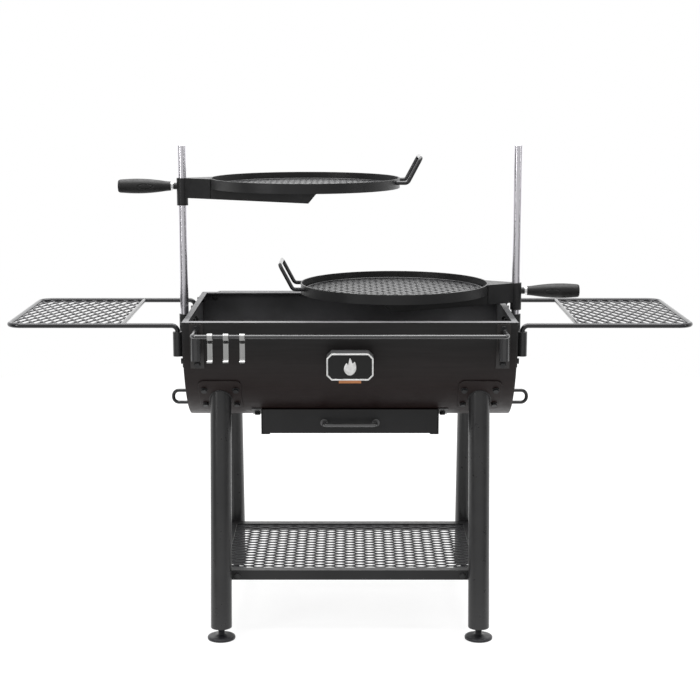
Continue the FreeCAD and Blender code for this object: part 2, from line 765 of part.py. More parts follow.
def grip():
    """A barrel-shaped handle, turned about the clamp screw."""
    start = -GRIP_BOSS[1] - GAP - FERRULE[1]
    curve = Part.BSplineCurve()
    curve.interpolate([V(start - s * (GRIP_LONG - 3), 0, GRIP_Z + r) for s, r in GRIP_PROFILE])
    side = curve.toShape()
    end = V(start - GRIP_LONG, 0, GRIP_Z + GRIP_PROFILE[-1][1] - 3)
    shoulder = side.Vertexes[-1].Point
    axis_end = V(end.x, 0, GRIP_Z)
    axis_start = V(start, 0, GRIP_Z)
    edges = [
        side,
        Part.makeLine(shoulder, end),
        Part.makeLine(end, axis_end),
        Part.makeLine(axis_end, axis_start),
        Part.makeLine(axis_start, side.Vertexes[0].Point),
    ]
    body = Part.Face(Part.Wire(edges)).revolve(axis_start, ALONG_X, 360)
    return body.cut(cylinder((start, 0, GRIP_Z), SCREW_R + 0.1, 65, ALONG_X * -1))


def clamp_screw():
    """Threaded rod fixed in the grip; its tip presses on the bush."""
    tip = BUSH_R[1] + 0.6
    return cylinder((-tip, 0, GRIP_Z), SCREW_R, 70 + GRIP_BOSS[1] - tip, ALONG_X * -1)


def carriage(shape, side):
    """Carries a carriage piece to the left post (-1, upper) or the right post (+1, lower)."""
    if side < 0:
        return moved(shape, -POST_X, 0, RIM + UPPER_RING_TOP)
    return moved(mirrored(shape, ALONG_X), POST_X, 0, RIM + LOWER_RING_TOP)


# ---------------------------------------------------------------- ash drawer
def ash_drawer():
    """A tray with a tall front; its walls stay under the barrel on the way out."""
    x, y = DRAWER_HALF
    low, high = DRAWER_Z
    t = DRAWER_SHEET
    outer = box((-x, -y, low), (x, y, high))
    inner = box((-x + t, -y + 2 * t, low + t), (x - t, y - t, high + 1))
    swept = box((-x - 1, 0, RIM - BARREL_R - DRAWER_CLEAR), (x + 1, y + 1, high + 1))
    tray = outer.cut(inner).cut(barrel_solid(BARREL_R + DRAWER_CLEAR, BARREL_HALF)).cut(swept)
    front = box((-x, -y, low), (x, -y + t, high)).cut(barrel_solid(BARREL_R + 1, BARREL_HALF))
    return fuse([tray, front])


def drawer_handle():
    half, reach, z = DRAWER_HANDLE
    y = -DRAWER_HALF[1]
    points = [(-half, y, z), (-half, y - reach, z), (half, y - reach, z), (half, y, z)]
    rod = bent_rod(points, DRAWER_HANDLE_R, [9.0, 9.0])
    bosses = [cylinder((x, y, z), 10.0, 4.0, ALONG_Y * -1) for x in (-half, half)]
    return fuse([rod, *bosses])


def ash_runner():
    """Folded channel on the right of the drawer: lip below, wall, flange rolled to the barrel."""
    x = DRAWER_HALF[0] + 1
    y = DRAWER_HALF[1]
    low = DRAWER_Z[0] - 1
    t = RUNNER_SHEET
    wall = box((x, -y + 1, low - t), (x + t, y + 6, RIM - 200))
    lip = box((x - RUNNER_LIP, -y + 1, low - t), (x + t, y + 6, low))
    stop = box((x - RUNNER_LIP, y + 3, low), (x + t, y + 3 + t, low + 30))
    flange = barrel_solid(BARREL_R + t, BARREL_HALF).common(box((x, -y + 1, 400), (x + 26, y + 6, RIM - 200)))
    return fuse([wall, lip, stop, flange]).cut(barrel_solid(BARREL_R, BARREL_HALF + 1))


def ash_runners():
    right = drill(ash_runner(), runner_bolt_places(), 20.0)
    left = drill(mirrored(ash_runner(), ALONG_X), runner_bolt_places(), 20.0)
    return Part.makeCompound([left, right])


# ---------------------------------------------------------------- badge and bottle opener
def badge_outline(inset, y):
    width, height, chamfer = BADGE
    x = width / 2 - inset
    z = height / 2 - inset
    lower = [(-x, -z + chamfer), (-x + chamfer, -z), (x - chamfer, -z), (x, -z + chamfer)]
    upper = [(px, -pz) for px, pz in reversed(lower)]
    return [(px, y, RIM + BADGE_Z + pz) for px, pz in lower + upper]


def badge_housing():
    """Hollow cast box between the plate and the barrel."""
    depth = 100.0
    block = prism(badge_outline(0, BADGE_FACE_Y + 3), (0, depth, 0))
    hollow = prism(badge_outline(3, BADGE_FACE_Y + 6), (0, depth, 0))
    lugs, bores = [], []
    for x in (-BADGE_BOLT_X, BADGE_BOLT_X):
        lugs.append(cylinder((x, BADGE_FACE_Y + 5, RIM + BADGE_Z), 7, 90, ALONG_Y))
        bores.append(cylinder((x, BADGE_FACE_Y + 20, RIM + BADGE_Z), BOLT_R + GAP, 90, ALONG_Y))
    body = fuse([block.cut(hollow), *lugs])
    body = body.cut(barrel_solid(BARREL_R + 0.1, BARREL_HALF)).cut(Part.makeCompound(bores))
    back = [s for s in body.Solids if s.BoundBox.YMin < BADGE_FACE_Y + 10]
    return back[0]


def badge_bolts():
    """Studs from inside the barrel into the housing's lugs."""
    inside_y = -math.sqrt((BARREL_R - SHEET) ** 2 - BADGE_Z**2)
    front = BADGE_FACE_Y + 24
    pieces = []
    for x in (-BADGE_BOLT_X, BADGE_BOLT_X):
        shank = cylinder((x, front, RIM + BADGE_Z), BOLT_R, inside_y + 4 - front, ALONG_Y)
        head = hexagon(V(x, inside_y + 3.4, RIM + BADGE_Z), ALONG_Y, BOLT_HEX, BOLT_HEAD)
        pieces.append(fuse([shank, head]))
    return Part.makeCompound(pieces)


def badge_plate():
    """Raised border round a recessed field, with a plain flame in relief."""
    plate = prism(badge_outline(0, BADGE_FACE_Y), (0, 3, 0))
    field = prism(badge_outline(3, BADGE_FACE_Y - 1), (0, 2.2, 0))
    middle = RIM + BADGE_Z
    relief = prism([(x, BADGE_FACE_Y, middle + z) for x, z in FLAME], (0, 2, 0))
    return fuse([plate.cut(field), relief])


def bottle_opener():
    """A flat tongue under the housing, with a cap claw at its front edge."""
    width, depth, thick = OPENER
    top = RIM + BADGE_Z - BADGE[1] / 2
    y = BADGE_FACE_Y + 2
    tongue = box((-width / 2, y, top - thick), (width / 2, y + depth, top))
    claw = box((-width / 2, y, top - thick - 4), (width / 2, y + thick, top))
    screws = [cylinder((x, y, top - 3), 2.4, 1.2, ALONG_Y * -1) for x in (-OPENER_SCREW_X, OPENER_SCREW_X)]
    return fuse([tongue, claw, *screws])


# ---------------------------------------------------------------- output
def fixed_nodes():
    nodes = {
        "barrel_shell": barrel_shell(),
        "end_plate_left": end_plate(-1),
        "end_plate_right": end_plate(1),
        "leg_plates": leg_plates(),
        "leg_plugs": Part.makeCompound([placed_corner(leg_plug(), x, y) for x, y in corners()]),
        "leg_bolts": bolts(leg_bolt_places()),
        "shelf_frame": shelf_frame(),
        "shelf_mesh": shelf_mesh(),
        "shelf_bolts": bolts(shelf_bolt_places()),
        "table_sockets": table_sockets(),
        "rail_sockets": rail_sockets(),
        "post_sockets": post_sockets(),
        "socket_bolts": bolts(socket_bolt_places()),
        "post_left": post(-1),
        "post_right": post(1),
        "carry_handles": Part.makeCompound([mirrored(carry_handle(), ALONG_X), carry_handle()]),
        "charcoal_ledges": charcoal_ledges(),
        "ash_runners": ash_runners(),
        "runner_bolts": bolts(runner_bolt_places()),
        "badge_housing": badge_housing(),
        "badge_plate": badge_plate(),
        "badge_bolts": badge_bolts(),
        "bottle_opener": bottle_opener(),
    }
    return nodes


def corner_nodes():
    nodes = {}
    for side_x, side_y in corners():
        name = ("front_" if side_y < 0 else "rear_") + ("left" if side_x < 0 else "right")
        nodes["leg_" + name] = leg(side_x, side_y)
        nodes["foot_" + name] = foot(side_x, side_y)
    return nodes


def loose_nodes():
    nodes = {
        "charcoal_grate": charcoal_grate(),
        "ash_drawer": ash_drawer(),
        "drawer_handle": drawer_handle(),
        "front_rail": rail(-1),
        "rear_rail": rail(1),
        "table_left_frame": table_frame(-1),
        "table_left_mesh": table_mesh(-1),
        "table_right_frame": table_frame(1),
        "table_right_mesh": table_mesh(1),
    }
    for number, x in enumerate(HOOK_X, 1):
        nodes[f"hook_{number}"] = hook(x)
    return nodes


def carriage_nodes():
    pieces = {
        "post_bush": post_bush(),
        "arm": arm(),
        "ring": ring(),
        "ring_handle": ring_handle(),
        "grate": grate(),
        "ferrule": ferrule(),
        "grip": grip(),
        "clamp_screw": clamp_screw(),
    }
    nodes = {}
    for prefix, side in (("left_", -1), ("right_", 1)):
        for name, shape in pieces.items():
            nodes[prefix + name] = carriage(shape, side)
    return nodes


def main():
    os.makedirs("parts", exist_ok=True)
    nodes = {**fixed_nodes(), **corner_nodes(), **loose_nodes(), **carriage_nodes()}
    for name, shape in nodes.items():
        solids = len(shape.Solids)
        print(f"{name}: {solids} solids, {shape.Volume / 1000:.1f} cm3, valid {shape.isValid()}")
        shape.exportStep(f"parts/{name}.step")
    print(len(nodes), "nodes")


main()
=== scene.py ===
"""Looks for the open-top barrel grill: materials, detailed pieces, camera and studio light.

Metres, in the CAD model's frame: +X along the barrel, -Y towards the cook, +Z up.
"""

import json
import math
import random

import bpy
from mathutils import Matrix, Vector

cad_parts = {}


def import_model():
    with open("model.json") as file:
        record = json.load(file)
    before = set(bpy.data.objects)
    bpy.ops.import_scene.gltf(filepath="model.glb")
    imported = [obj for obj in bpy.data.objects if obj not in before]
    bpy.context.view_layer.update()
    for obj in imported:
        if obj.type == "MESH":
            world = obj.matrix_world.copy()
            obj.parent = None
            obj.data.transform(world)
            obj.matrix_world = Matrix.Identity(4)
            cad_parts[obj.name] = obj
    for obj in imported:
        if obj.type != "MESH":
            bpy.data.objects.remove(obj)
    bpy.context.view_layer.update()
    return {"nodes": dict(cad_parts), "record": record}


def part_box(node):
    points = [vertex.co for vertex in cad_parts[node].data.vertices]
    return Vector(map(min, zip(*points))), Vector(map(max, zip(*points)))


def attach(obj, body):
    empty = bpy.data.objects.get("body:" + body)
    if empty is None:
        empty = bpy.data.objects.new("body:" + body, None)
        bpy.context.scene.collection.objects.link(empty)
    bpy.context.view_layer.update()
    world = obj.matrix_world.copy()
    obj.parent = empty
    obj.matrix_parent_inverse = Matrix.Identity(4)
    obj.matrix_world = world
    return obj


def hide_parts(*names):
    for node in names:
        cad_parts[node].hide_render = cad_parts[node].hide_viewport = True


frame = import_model()
NODES = frame["nodes"]
MM = 0.001
UP = Vector((0, 0, 1))
SIDES = (("left", -1), ("right", 1))
CORNERS = ("front_left", "front_right", "rear_left", "rear_right")


# ---------------------------------------------------------------- node helpers
EDGE_LEAN = (0.02, 0.25)  # lean of the rounded normal where wear starts and where it is full


class Graph:
    """A material's node tree, with short calls to add nodes and join them."""

    def __init__(self, name):
        self.material = bpy.data.materials.new(name)
        self.material.use_nodes = True
        self.tree = self.material.node_tree
        self.shader = self.tree.nodes["Principled BSDF"]

    def add(self, kind, **settings):
        """A new node; a setting is a property of the node if it has one of that name, or else an input."""
        node = self.tree.nodes.new(kind)
        for key, value in settings.items():
            if hasattr(node, key):
                setattr(node, key, value)
            else:
                node.inputs[key.replace("_", " ")].default_value = value
        return node

    def join(self, output, target):
        self.tree.links.new(output, target)

    def set(self, **values):
        for key, value in values.items():
            self.shader.inputs[key.replace("_", " ")].default_value = value

    def place(self, stretch=(1, 1, 1)):
        """Object coordinates, stretched along an axis where a finish has a direction."""
        where = self.add("ShaderNodeTexCoord")
        if stretch == (1, 1, 1):
            return where.outputs["Object"]
        mapping = self.add("ShaderNodeMapping")
        mapping.inputs["Scale"].default_value = stretch
        self.join(where.outputs["Object"], mapping.inputs["Vector"])
        return mapping.outputs["Vector"]

    def noise(self, where, scale, detail=2.0, roughness=0.5):
        node = self.add("ShaderNodeTexNoise", Scale=scale, Detail=detail, Roughness=roughness)
        self.join(where, node.inputs["Vector"])
        return node.outputs["Fac"]

    def remap(self, value, low, high, start=0.3, end=0.7):
        """Stretches start..end to low..high and clamps the rest."""
        node = self.add("ShaderNodeMapRange")
        for name, number in (("From Min", start), ("From Max", end), ("To Min", low), ("To Max", high)):
            node.inputs[name].default_value = number
        self.join(value, node.inputs["Value"])
        return node.outputs["Result"]

    def mix(self, factor, a, b):
        """Blends from a to b, each a colour or an output."""
        node = self.add("ShaderNodeMix", data_type="RGBA")
        self.join(factor, node.inputs["Factor"])
        for socket, value in ((node.inputs[6], a), (node.inputs[7], b)):
            if hasattr(value, "is_output"):
                self.join(value, socket)
            else:
                socket.default_value = (*value, 1)
        return node.outputs[2]

    def multiply(self, a, b):
        node = self.add("ShaderNodeMath", operation="MULTIPLY")
        self.join(a, node.inputs[0])
        self.join(b, node.inputs[1])
        return node.outputs[0]

    def split(self, where):
        """The X, Y and Z of a place, as outputs that are looked up by name."""
        node = self.add("ShaderNodeSeparateXYZ")
        self.join(where, node.inputs[0])
        return node.outputs

    def bump(self, height, strength, distance, normal=None):
        node = self.add("ShaderNodeBump", Strength=strength, Distance=distance)
        self.join(height, node.inputs["Height"])
        if normal is not None:
            self.join(normal, node.inputs["Normal"])
        return node.outputs["Normal"]

    def rounded(self, radius):
        """The surface normal with every edge rounded over by radius."""
        node = self.add("ShaderNodeBevel", samples=4)
        node.inputs["Radius"].default_value = radius
        return node.outputs["Normal"]

    def edges(self, rounded):
        """1 along edges and 0 on the flats, from how far the rounded normal leans."""
        low, high = EDGE_LEAN
        flat = self.add("ShaderNodeNewGeometry").outputs["Normal"]
        dot = self.add("ShaderNodeVectorMath", operation="DOT_PRODUCT")
        self.join(rounded, dot.inputs[0])
        self.join(flat, dot.inputs[1])
        return self.remap(dot.outputs["Value"], 1, 0, 1 - high, 1 - low)

    def finish(self, colour=None, roughness=None, normal=None):
        for name, output in (("Base Color", colour), ("Roughness", roughness), ("Normal", normal)):
            if output is not None:
                self.join(output, self.shader.inputs[name])
        return self.material


# ---------------------------------------------------------------- materials
def coat(name, dark, light, gloss=(0.42, 0.56), wear=(0.07, 0.068, 0.066), shine=0.3, grain=1500, bump=0.2):
    """Powder coat: fine orange peel, slow colour drift and slightly rubbed edges."""
    g = Graph(name)
    where = g.place()
    drift = g.remap(g.noise(where, 7, 3), 0, 1, 0.35, 0.65)
    base = g.mix(drift, dark, light)
    normal = g.rounded(0.9 * MM)
    rubbed = g.multiply(g.edges(normal), g.remap(g.noise(where, 45, 4), 0.1, 0.75))
    colour = g.mix(rubbed, base, wear)
    roughness = g.remap(g.noise(where, 60, 3), *gloss)
    peel = g.bump(g.noise(where, grain, 2), bump, 0.12 * MM, normal)
    g.set(Specular_IOR_Level=shine)
    return g.finish(colour, roughness, peel)


RIM_HEIGHT = 0.81
INNER_RADIUS = 0.2779  # just inside the barrel's sheet
# painted shade below the first height blends into painted light above the second
SHADED_BELOW, LIT_ABOVE = 0.64, 0.77  # heights between which the firebox paint changes tone
FRONT_RIM_Y = (-0.25, -0.2)  # the painted highlight on the rim fades out between these
TUBE_START = 0.2845  # where the rail sockets' tubes stand clear of their pads


def firebox_coat():
    """High-heat paint on rolled sheet: brown-black, darker low down as painted shade, lighter grey near the
    rim as painted light, and paler inside as painted light.
    """
    g = Graph("firebox_coat")
    where = g.place()
    streak = g.remap(g.noise(g.place((0.6, 9, 9)), 14, 4), 0, 1)
    # painted shade: the darker brown-black low down; painted light: the lighter grey near the rim
    brown_painted_shade = g.mix(streak, (0.0082, 0.0034, 0.003), (0.011, 0.005, 0.0045))
    grey_painted_light = g.mix(streak, (0.0155, 0.015, 0.015), (0.02, 0.0195, 0.0195))
    outside = g.mix(g.remap(g.split(where)["Z"], 0, 1, SHADED_BELOW, LIT_ABOVE), brown_painted_shade, grey_painted_light)
    # painted light: the inside of the bore is painted a lighter grey
    inside_painted_light = g.mix(g.remap(g.noise(where, 11, 4), 0, 1), (0.046, 0.046, 0.048), (0.066, 0.066, 0.069))
    base = g.mix(inside_barrel(g), outside, inside_painted_light)
    normal = g.rounded(1.0 * MM)
    rubbed = g.multiply(g.edges(normal), g.remap(g.noise(where, 40, 4), 0.35, 0.95))
    worn = g.mix(rubbed, base, (0.13, 0.128, 0.13))
    # painted highlight: the top of the rim along the cook's side is painted pale grey
    colour = g.mix(rim_painted_highlight(g), worn, (0.17, 0.169, 0.174))
    roughness = g.remap(g.noise(where, 35, 3), 0.36, 0.46)
    peel = g.bump(g.noise(where, 1100, 2), 0.16, 0.1 * MM, normal)
    g.set(Specular_IOR_Level=0.18)
    return g.finish(colour, roughness, peel)


def rim_painted_highlight(g):
    """1 on the top of the rim along the cook's side, where a pale highlight is painted, and 0 elsewhere."""
    place = g.split(g.place())
    top = g.remap(place["Z"], 0, 1, RIM_HEIGHT - 0.6 * MM, RIM_HEIGHT - 0.2 * MM)
    return g.multiply(top, g.remap(place["Y"], 1, 0, *FRONT_RIM_Y))


def inside_barrel(g):
    """1 within the barrel's bore, from the distance to its axis along X."""
    across_axis = g.add("ShaderNodeVectorMath", operation="MULTIPLY")
    across_axis.inputs[1].default_value = (0, 1, 1)
    g.join(g.place(), across_axis.inputs[0])
    distance = g.add("ShaderNodeVectorMath", operation="DISTANCE")
    distance.inputs[1].default_value = (0, 0, RIM_HEIGHT)
    g.join(across_axis.outputs["Vector"], distance.inputs[0])
    return g.remap(distance.outputs["Value"], 1, 0, INNER_RADIUS - 0.5 * MM, INNER_RADIUS)


def socket_coat():
    """The rolled pad keeps the barrel's tone; the upright tube in front of it is smoother and lighter."""
    g = Graph("socket_coat")
    where = g.place()
    outward = g.add("ShaderNodeMath", operation="ABSOLUTE")
    g.join(g.split(where)["Y"], outward.inputs[0])
    tube = g.remap(outward.outputs[0], 0, 1, TUBE_START - 1 * MM, TUBE_START)
    colour = g.mix(tube, (0.008, 0.0055, 0.005), (0.034, 0.034, 0.035))
    roughness = g.remap(tube, 0.4, 0.2, 0, 1)
    normal = g.bump(g.noise(where, 1500, 2), 0.15, 0.12 * MM, g.rounded(1.2 * MM))
    g.set(Specular_IOR_Level=0.5)
    return g.finish(colour, roughness, normal)


def bare_metal(name, dark, light, gloss, stretch, scale, bump=0.15):
    """Plated or brushed metal with fine lines along one axis."""
    g = Graph(name)
    lines = g.noise(g.place(stretch), scale, 5, 0.7)
    smear = g.noise(g.place(), 30, 3)
    colour = g.mix(g.remap(lines, 0, 1), dark, light)
    roughness = g.remap(smear, *gloss)
    normal = g.bump(lines, bump, 0.05 * MM, g.rounded(0.4 * MM))
    g.set(Metallic=1.0)
    return g.finish(colour, roughness, normal)


def plated_tube():
    """Smooth chrome plate with a faint violet cast; nothing rounds its normal, so it stays even."""
    g = Graph("post_chrome")
    cloud = g.remap(g.noise(g.place((1, 1, 0.2)), 9, 2), 0, 1)
    g.set(Metallic=1.0)
    colour = g.mix(cloud, (0.62, 0.605, 0.64), (0.66, 0.645, 0.68))
    return g.finish(colour, g.remap(cloud, 0.21, 0.24, 0, 1))


def moulded_plastic():
    """Black plastic with a fine moulded texture."""
    g = Graph("grip_plastic")
    where = g.place()
    colour = g.mix(g.remap(g.noise(where, 25, 3), 0, 1), (0.0055, 0.0055, 0.0055), (0.009, 0.009, 0.009))
    roughness = g.remap(g.noise(where, 90, 2), 0.4, 0.52)
    spark = g.bump(g.noise(where, 2200, 2), 0.3, 0.12 * MM)
    g.set(Specular_IOR_Level=0.3)
    return g.finish(colour, roughness, spark)


def grate_enamel():
    """Glossy black enamel, cloudy in patches and a little uneven."""
    g = Graph("grate_enamel")
    where = g.place()
    patch = g.remap(g.noise(where, 18, 4), 0, 1)
    colour = g.mix(patch, (0.009, 0.009, 0.01), (0.017, 0.017, 0.019))
    roughness = g.remap(g.noise(where, 120, 3), 0.2, 0.3)
    normal = g.bump(g.noise(where, 600, 3), 0.15, 0.15 * MM)
    g.set(Specular_IOR_Level=0.42)
    return g.finish(colour, roughness, normal)


def coal_iron():
    """Rough iron, grey where ash has settled."""
    g = Graph("coal_iron")
    where = g.place()
    colour = g.mix(g.remap(g.noise(where, 30, 5), 0, 1), (0.02, 0.019, 0.019), (0.05, 0.046, 0.044))
    roughness = g.remap(g.noise(where, 80, 3), 0.6, 0.8)
    normal = g.bump(g.noise(where, 450, 5), 0.5, 0.5 * MM, g.rounded(1.0 * MM))
    return g.finish(colour, roughness, normal)


def badge_materials():
    """The badge's dark field, and the pale paint of its border and flame."""
    field = coat("badge_field", (0.008, 0.008, 0.008), (0.012, 0.012, 0.012), (0.3, 0.4))
    g = Graph("badge_border")
    where = g.place()
    colour = g.mix(g.remap(g.noise(where, 120, 3), 0, 1), (0.62, 0.62, 0.61), (0.8, 0.8, 0.79))
    normal = g.bump(g.noise(where, 900, 2), 0.2, 0.1 * MM)
    g.set(Metallic=0.2)
    return field, g.finish(colour, g.remap(g.noise(where, 80, 2), 0.3, 0.42), normal)


MATERIALS = {
    "firebox_coat": firebox_coat(),
    "black_coat": coat("black_coat", (0.0095, 0.0095, 0.01), (0.0145, 0.0145, 0.015), (0.34, 0.44)),
    "leg_coat": coat("leg_coat", (0.017, 0.017, 0.0175), (0.023, 0.023, 0.0235), (0.27, 0.36), shine=0.42),
    "black_rod": coat("black_rod", (0.007, 0.007, 0.008), (0.011, 0.011, 0.0125), (0.16, 0.22),
                      (0.07, 0.07, 0.08), 0.55, bump=0.08),
    "rail_satin": coat("rail_satin", (0.016, 0.016, 0.017), (0.022, 0.022, 0.023), (0.14, 0.2),
                       (0.12, 0.12, 0.12), 0.85, bump=0.08),
    "handle_satin": coat("handle_satin", (0.045, 0.045, 0.046), (0.055, 0.055, 0.056), (0.18, 0.24),
                         (0.12, 0.12, 0.12), 0.85, bump=0.08),
    "mesh_coat": coat("mesh_coat", (0.007, 0.007, 0.0085), (0.011, 0.011, 0.013), (0.34, 0.44),
                      (0.07, 0.07, 0.08), 0.32),
    "socket_coat": socket_coat(),
    # painted light: the badge housing's coat is made a lighter grey for the light falling on it from above
    "housing_grey": coat("housing_grey", (0.06, 0.06, 0.061), (0.08, 0.08, 0.081), (0.35, 0.45), shine=0.5),
    "grate_enamel": grate_enamel(),
    "coal_iron": coal_iron(),
    "post_chrome": plated_tube(),
    "ferrule_chrome": bare_metal("ferrule_chrome", (0.62, 0.62, 0.62), (0.7, 0.7, 0.7), (0.06, 0.12),
                                 (1, 0.1, 1), 300, 0.03),
    "hook_steel": bare_metal("hook_steel", (0.33, 0.33, 0.33), (0.45, 0.45, 0.44), (0.24, 0.32),
                             (1, 1, 0.05), 500, 0.12),
    "grip_black": moulded_plastic(),
    "fastener_black": coat("fastener_black", (0.009, 0.009, 0.01), (0.018, 0.018, 0.019), (0.3, 0.42),
                           shine=0.35),
    "bush_polymer": coat("bush_polymer", (0.012, 0.011, 0.01), (0.018, 0.017, 0.016), (0.4, 0.5)),
    "copper": bare_metal("copper", (0.46, 0.19, 0.085), (0.6, 0.27, 0.13), (0.26, 0.36),
                         (0.1, 1, 1), 400, 0.08),
    "foot_black": coat("foot_black", (0.014, 0.014, 0.016), (0.022, 0.022, 0.025), (0.34, 0.46)),
    "thread_zinc": bare_metal("thread_zinc", (0.5, 0.5, 0.5), (0.65, 0.65, 0.63), (0.3, 0.4), (1, 1, 1), 400),
}
NODE_FINISH = {  # nodes that look different from the rest of their slot
    "drawer_handle": "handle_satin",
    "rail_sockets": "socket_coat",
    "table_sockets": "leg_coat",
}
NODE_FINISH.update({f"leg_{corner}": "leg_coat" for corner in CORNERS})
BADGE_FIELD, BADGE_BORDER = badge_materials()
MATERIALS["badge_face"] = BADGE_FIELD


def paint_cad_nodes():
    slots = {s["node"]: s["material_slot"] for s in frame["record"]["subparts"]}
    for name, node in NODES.items():
        node.data.materials.clear()
        node.data.materials.append(MATERIALS[NODE_FINISH.get(name, slots[name])])


# ---------------------------------------------------------------- mesh helpers
def make_piece(name, shape, slot, body, replaced=(), material=None, sharp=35):
    """A smooth-shaded object from a Shape, riding on its body and standing for the replaced nodes."""
    mesh = bpy.data.meshes.new(name)
    mesh.from_pydata([tuple(v) for v in shape.vertices], [], shape.faces)
    mesh.validate()
    mesh.polygons.foreach_set("use_smooth", [True] * len(mesh.polygons))
    mesh.set_sharp_from_angle(angle=math.radians(sharp))
    mesh.materials.append(material or MATERIALS[slot])
    piece = bpy.data.objects.new(name, mesh)
    bpy.context.scene.collection.objects.link(piece)
    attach(piece, body)
    if replaced:
        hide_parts(*replaced)


class Shape:
    """Vertices and faces gathered from several closed bodies."""

    def __init__(self):
        self.vertices = []
        self.faces = []

    def loft(self, sections, closed=False):
        """Skins a list of equal rings of points; caps the ends unless the list closes on itself."""
        start = len(self.vertices)
        sides = len(sections[0])
        for section in sections:
            self.vertices.extend(section)
        count = len(sections)
        for i in range(count if closed else count - 1):
            a = start + i * sides
            b = start + (i + 1) % count * sides
            for k in range(sides):
                n = (k + 1) % sides
                self.faces.append((a + k, a + n, b + n, b + k))
        if not closed:
            self.faces.append(tuple(range(start + sides - 1, start - 1, -1)))
            last = start + (count - 1) * sides
            self.faces.append(tuple(range(last, last + sides)))

    def hoop(self, points, radii, sides):
        """A round rod along a closed loop of points, with a radius for each point."""
        rings = []
        for point, (u, v), r in zip(points, loop_frames(points), radii):
            rings.append([point + (u * math.cos(t) + v * math.sin(t)) * r for t in turns(sides)])
        self.loft(rings, closed=True)

    def lathe(self, base, axis, profile, sides):
        """Turns (distance along the axis, radius) pairs about the axis; both ends are closed."""
        u, v = across(axis)
        rings = []
        for along, radius in profile:
            centre = base + axis * along
            rings.append([centre + (u * math.cos(t) + v * math.sin(t)) * radius for t in turns(sides)])
        self.loft(rings)


def turns(count):
    return [2 * math.pi * k / count for k in range(count)]


def across(axis):
    """Two unit vectors square to the axis, right-handed with it."""
    helper = UP if abs(axis.z) < 0.9 else Vector((1, 0, 0))
    u = axis.cross(helper).normalized()
    return u, axis.cross(u).normalized()


def loop_frames(points):
    """A pair of cross vectors at each point of a closed loop, carried along it without twist."""
    frames = []
    u = None
    for i, behind in enumerate(points[-1:] + points[:-1]):
        heading = (points[(i + 1) % len(points)] - behind).normalized()
        if u is None:
            u = across(heading)[0]
        u = (u - heading * u.dot(heading)).normalized()
        frames.append((u, heading.cross(u)))
    return frames


def catmull_rom(a, b, c, d, t):
    """The smooth curve from b to c, at t from 0 to 1."""
    bend = (2 * a - 5 * b + 4 * c - d) * t * t
    return 0.5 * (2 * b + (c - a) * t + bend + (3 * b - a - 3 * c + d) * t**3)


def middle_of(node):
    low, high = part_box(node)
    return (low + high) / 2


# ---------------------------------------------------------------- expanded metal
SHELF_DIAMOND = (23.2 * MM, 52.2 * MM)  # pitch across the short and the long way
TABLE_DIAMOND = (28.1 * MM, 67.0 * MM)
SHELF_STRAND = (3.0 * MM, 2.2 * MM)  # width and thickness of a strand
TABLE_STRAND = (4.7 * MM, 2.8 * MM)
STRAND_LEAN = math.radians(8)
KNUCKLE = 0.14  # share of a half pitch over which two strands run together


def expanded_sheet(node, body, name, diamond, strand, long_is_x):
    """Staggered zigzag strands, each leaning the same way, joined at their knuckles."""
    short_way, long_way = diamond
    low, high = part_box(node)
    z = (low.z + high.z) / 2
    if long_is_x:
        span_u, span_v = (low.x, high.x), (low.y, high.y)
    else:
        span_u, span_v = (low.y, high.y), (low.x, high.x)
    rows = round((span_v[1] - span_v[0]) / (short_way / 2))
    row_pitch = (span_v[1] - span_v[0]) / rows
    shape = Shape()
    for row in range(rows):
        centres = strand_run(row, row_pitch, long_way / 2, span_u, span_v[0], strand[0])
        shape.loft([strand_section(centres, k, strand, z, long_is_x) for k in range(len(centres))])
    make_piece(name, shape, "mesh_coat", body, [node], sharp=50)


def strand_run(row, pitch, half, span_u, v_low, width):
    """The zigzag middle line of one strand, as (u, v) points."""
    middle = (span_u[0] + span_u[1]) / 2
    steps = math.ceil((span_u[1] - span_u[0]) / 2 / half)
    bond = width / 2 * math.cos(STRAND_LEAN)
    centres = []
    for i in range(-steps, steps + 1):
        offset = bond if (i + row) % 2 == 0 else pitch - bond
        v = v_low + row * pitch + offset
        for side in (-KNUCKLE, KNUCKLE):
            centres.append((middle + (i + side) * half, v))
    return clip_run(centres, *span_u)


def clip_run(points, low, high):
    """Cuts a left-to-right run of (u, v) points at two values of u."""
    cut = []
    for (u0, v0), (u1, v1) in zip(points, points[1:]):
        for limit in (low, high):
            if u0 < limit < u1:
                cut.append((limit, v0 + (v1 - v0) * (limit - u0) / (u1 - u0)))
    inside = [p for p in points if low < p[0] < high]
    return sorted(inside + cut)


def strand_section(centres, k, strand, z, long_is_x):
    """Four corners of the strand's leaning rectangle at one point of its run."""
    before = centres[max(k - 1, 0)]
    after = centres[min(k + 1, len(centres) - 1)]
    slope = math.atan2(after[1] - before[1], after[0] - before[0])
    u, v = centres[k]
    width, thick = strand[0] / 2, strand[1] / 2
    corners = []
    for a, b in ((-1, -1), (1, -1), (1, 1), (-1, 1)):
        out = a * width * math.cos(STRAND_LEAN) - b * thick * math.sin(STRAND_LEAN)
        rise = a * width * math.sin(STRAND_LEAN) + b * thick * math.cos(STRAND_LEAN)
        pu = u - out * math.sin(slope)
        pv = v + out * math.cos(slope)
        corners.append(Vector((pu, pv, z + rise)) if long_is_x else Vector((pv, pu, z + rise)))
    return corners if long_is_x else corners[::-1]


# ---------------------------------------------------------------- round grates
GRATE_STEP = 30.6 / math.sqrt(2) * MM
GRATE_SEGMENTS = 160
GRATE_INSET = 5 * MM  # how far the bars run in under the rim, from its outside
BAR_LIFT = 1.1 * MM
CROSSING_DROP = 0.12 * MM  # keeps the tops of crossing bars apart
